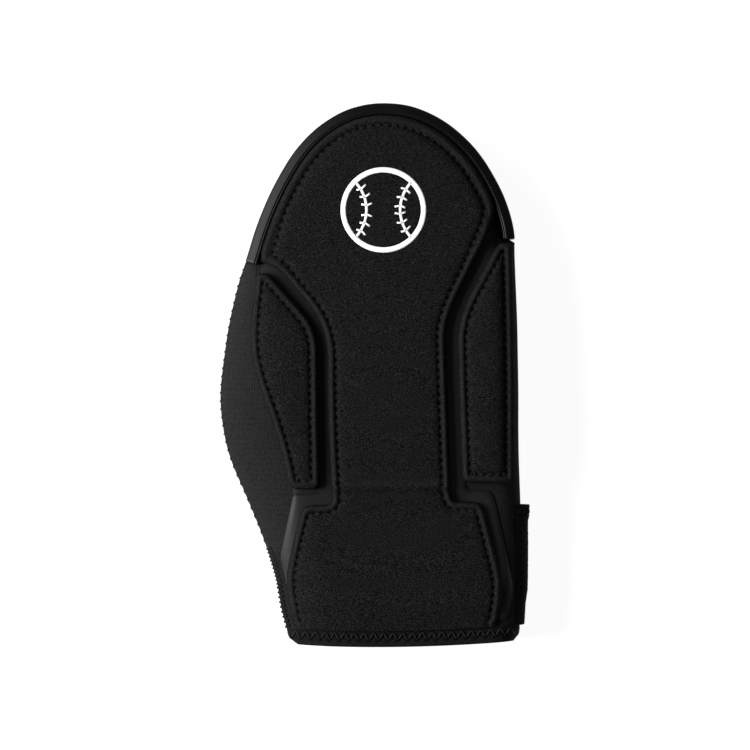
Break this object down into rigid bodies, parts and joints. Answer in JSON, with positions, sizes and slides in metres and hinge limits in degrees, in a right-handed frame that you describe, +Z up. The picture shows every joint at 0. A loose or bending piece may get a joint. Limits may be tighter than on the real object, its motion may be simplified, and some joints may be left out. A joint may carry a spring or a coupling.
{
  "type": "sliding mitt",
  "caption": "Padded hand guard worn over one hand when sliding into a base, with a rubber fingertip rim, raised back panels and a wrist strap.",
  "frame": {"origin": "middle of the outline seen from above, on the surface that the palm rests on", "axes": "+X towards the outer side of the hand, +Y towards the fingertips, +Z up out of the back of the hand"},
  "size_m": [0.1542, 0.2714, 0.0421],
  "materials": {
    "brushed_fabric": "matte brushed",
    "sleeve_fabric": "matte",
    "stretch_knit": "fine ribbed knit",
    "coated_fabric": "smooth satin",
    "rim_rubber": "satin",
    "strap_webbing": "matte"
  },
  "bodies": {
    "root": {"hand_sleeve": "sleeve_fabric", "thumb_gusset": "stretch_knit", "hem_band": "sleeve_fabric", "fingertip_bumper": "rim_rubber", "back_film": "coated_fabric", "centre_pad": "brushed_fabric", "thumb_side_pad": "brushed_fabric", "outer_side_pad": "brushed_fabric", "wrist_panel": "brushed_fabric", "wrist_strap": "strap_webbing", "palm_pad": "sleeve_fabric"}
  },
  "joints": []
}
